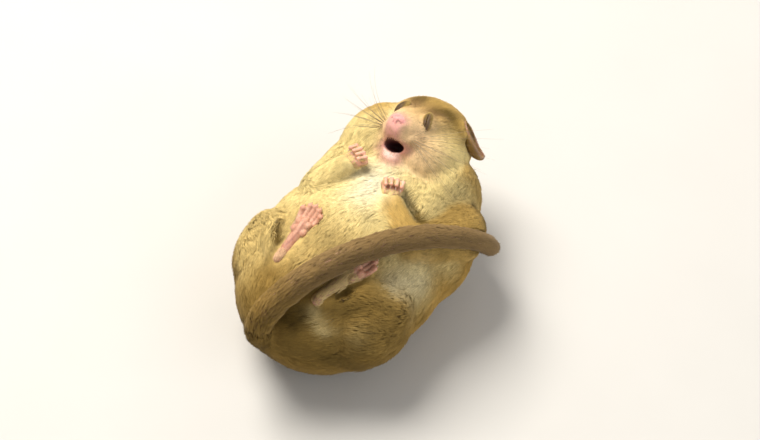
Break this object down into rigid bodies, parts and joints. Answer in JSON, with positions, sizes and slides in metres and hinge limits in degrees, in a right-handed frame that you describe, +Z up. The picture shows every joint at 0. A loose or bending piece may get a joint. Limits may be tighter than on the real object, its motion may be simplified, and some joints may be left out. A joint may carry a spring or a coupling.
{
  "type": "hazel dormouse",
  "caption": "Life-size still model of a sleeping hazel dormouse lying curled on its back, furry tail laid over its belly and flank.",
  "frame": {"origin": "on the surface it lies on, under the middle of the animal's bounding box", "axes": "+Y from the rump towards the head, +X to the animal's left, +Z up out of the belly, the animal lying on its back"},
  "size_m": [0.0432, 0.0658, 0.0357],
  "materials": {
    "coat_flank": "golden-tan short fur",
    "coat_back": "olive-brown short fur",
    "coat_pale": "pale yellow-cream short fur",
    "tail_coat": "grey-brown short fur",
    "bare_skin": "soft pink skin",
    "ear_skin": "thin pinkish-brown skin",
    "eyelid": "dark closed lids",
    "whisker": "fine dark hairs"
  },
  "bodies": {
    "root": {"torso": "coat_flank", "neck": "coat_back", "head": "coat_pale", "lower_jaw": "coat_pale", "nose": "bare_skin", "tail_root": "tail_coat", "tail_front": "tail_coat", "tail_rear": "tail_coat", "tail_tip": "tail_coat", "eye_left": "eyelid", "eye_right": "eyelid", "ear_left": "ear_skin", "ear_right": "ear_skin", "whiskers_left": "whisker", "whiskers_right": "whisker", "foreleg_left": "coat_pale", "foreleg_right": "coat_pale", "hindleg_left": "coat_flank", "hindleg_right": "coat_flank", "forepaw_left": "bare_skin", "forepaw_right": "bare_skin", "hindfoot_left": "bare_skin", "hindfoot_right": "bare_skin"}
  },
  "joints": []
}
